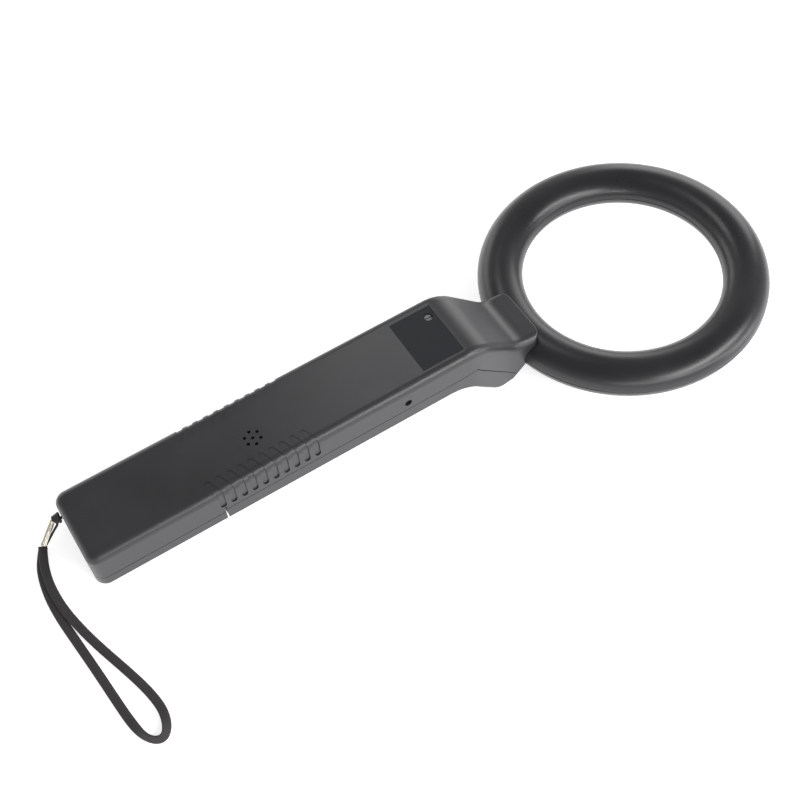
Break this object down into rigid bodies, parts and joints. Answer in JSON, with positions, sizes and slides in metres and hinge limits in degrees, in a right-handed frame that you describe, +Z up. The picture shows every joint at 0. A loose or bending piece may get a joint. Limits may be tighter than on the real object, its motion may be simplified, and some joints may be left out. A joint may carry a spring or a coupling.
{
  "type": "security metal detector wand",
  "caption": "Hand-held security wand: slotted flat grip, sloping neck and a closed search ring, with a webbing wrist strap on a crimped ferrule.",
  "frame": {"origin": "on the surface the wand lies on, at the middle of its box without the strap", "axes": "+X from the tail to the search ring, +Y to the wand's left, seen with the label up and the ring ahead, +Z up"},
  "size_m": [0.4243, 0.186, 0.0461],
  "materials": {
    "black_abs": "fine-textured moulded plastic",
    "ring_abs": "fine-textured moulded plastic",
    "label_film": "smooth printed film, bare",
    "inner_plastic": "moulded",
    "copper_winding": "enamelled wire",
    "board": "solder-masked laminate",
    "chip": "moulded",
    "can_sleeve": "shrink sleeve",
    "film_box": "dipped",
    "resistor_body": "lacquer",
    "trimmer_blue": "moulded",
    "trimmer_white": "moulded",
    "sounder_black": "moulded",
    "foam": "soft foam",
    "steel": "plated",
    "weight_metal": "sintered",
    "red_lens": "clear tinted",
    "green_lens": "clear tinted",
    "knob": "moulded",
    "battery_case": "printed sleeve, bare",
    "snap": "moulded",
    "lead": "flexible insulation",
    "coil_sleeve": "flexible insulation",
    "connector": "moulded",
    "screw_steel": "black zinc",
    "nickel": "bright nickel",
    "string": "braided",
    "webbing": "woven"
  },
  "bodies": {
    "wand": {"upper_shell": "black_abs", "lower_shell": "black_abs", "ring_upper_half": "ring_abs", "ring_lower_half": "ring_abs", "coil_former": "inner_plastic", "transmit_coil": "copper_winding", "receive_coil": "copper_winding", "coil_lead": "coil_sleeve", "coil_connector": "connector", "main_board": "board", "detector_chip": "chip", "capacitors": "can_sleeve", "film_capacitor": "film_box", "resistors": "resistor_body", "trimmer_body": "trimmer_blue", "sounder": "sounder_black", "sounder_gasket": "foam", "vibration_motor": "steel", "motor_clip": "steel", "jack_socket": "inner_plastic", "button_switch": "inner_plastic", "switch_body": "inner_plastic", "red_lamp": "red_lens", "green_lamp": "green_lens", "battery_9v": "battery_case", "battery_snap": "snap", "battery_leads": "lead", "battery_pad": "foam", "label": "label_film", "shell_screws": "screw_steel", "ring_screws": "screw_steel", "strap_string": "string", "strap_knot": "string", "strap_ferrule": "nickel", "wrist_strap": "webbing"},
    "battery_door": {"battery_door": "black_abs"},
    "switch_knob": {"switch_knob": "knob"},
    "button_cap": {"button_cap": "knob"},
    "trimmer_rotor": {"trimmer_rotor": "trimmer_white"},
    "vibration_weight": {"vibration_weight": "weight_metal"}
  },
  "joints": [
    {"name": "battery_door_slide", "type": "slide", "parent": "wand", "child": "battery_door", "axis": [-0.9947, 0, -0.1024], "range_m": [0, 0.005]},
    {"name": "mode_switch_slide", "type": "slide", "parent": "wand", "child": "switch_knob", "axis": [0.9947, 0, 0.1024], "range_m": [-0.0025, 0.0025]},
    {"name": "button_press", "type": "slide", "parent": "wand", "child": "button_cap", "axis": [0, -1, 0], "range_m": [0, 0.0009], "stiffness_N_per_m": 600, "springref_m": -0.0008},
    {"name": "trimmer_turn", "type": "hinge", "parent": "wand", "child": "trimmer_rotor", "pos_m": [0.00235, 0.0099, 0.04264], "axis": [-0.1024, 0, 0.9947], "range_deg": [-135, 135]},
    {"name": "weight_spin", "type": "hinge", "parent": "wand", "child": "vibration_weight", "pos_m": [-0.06803, -0.013, 0.02806], "axis": [0.9947, 0, 0.1024], "continuous": true}
  ]
}
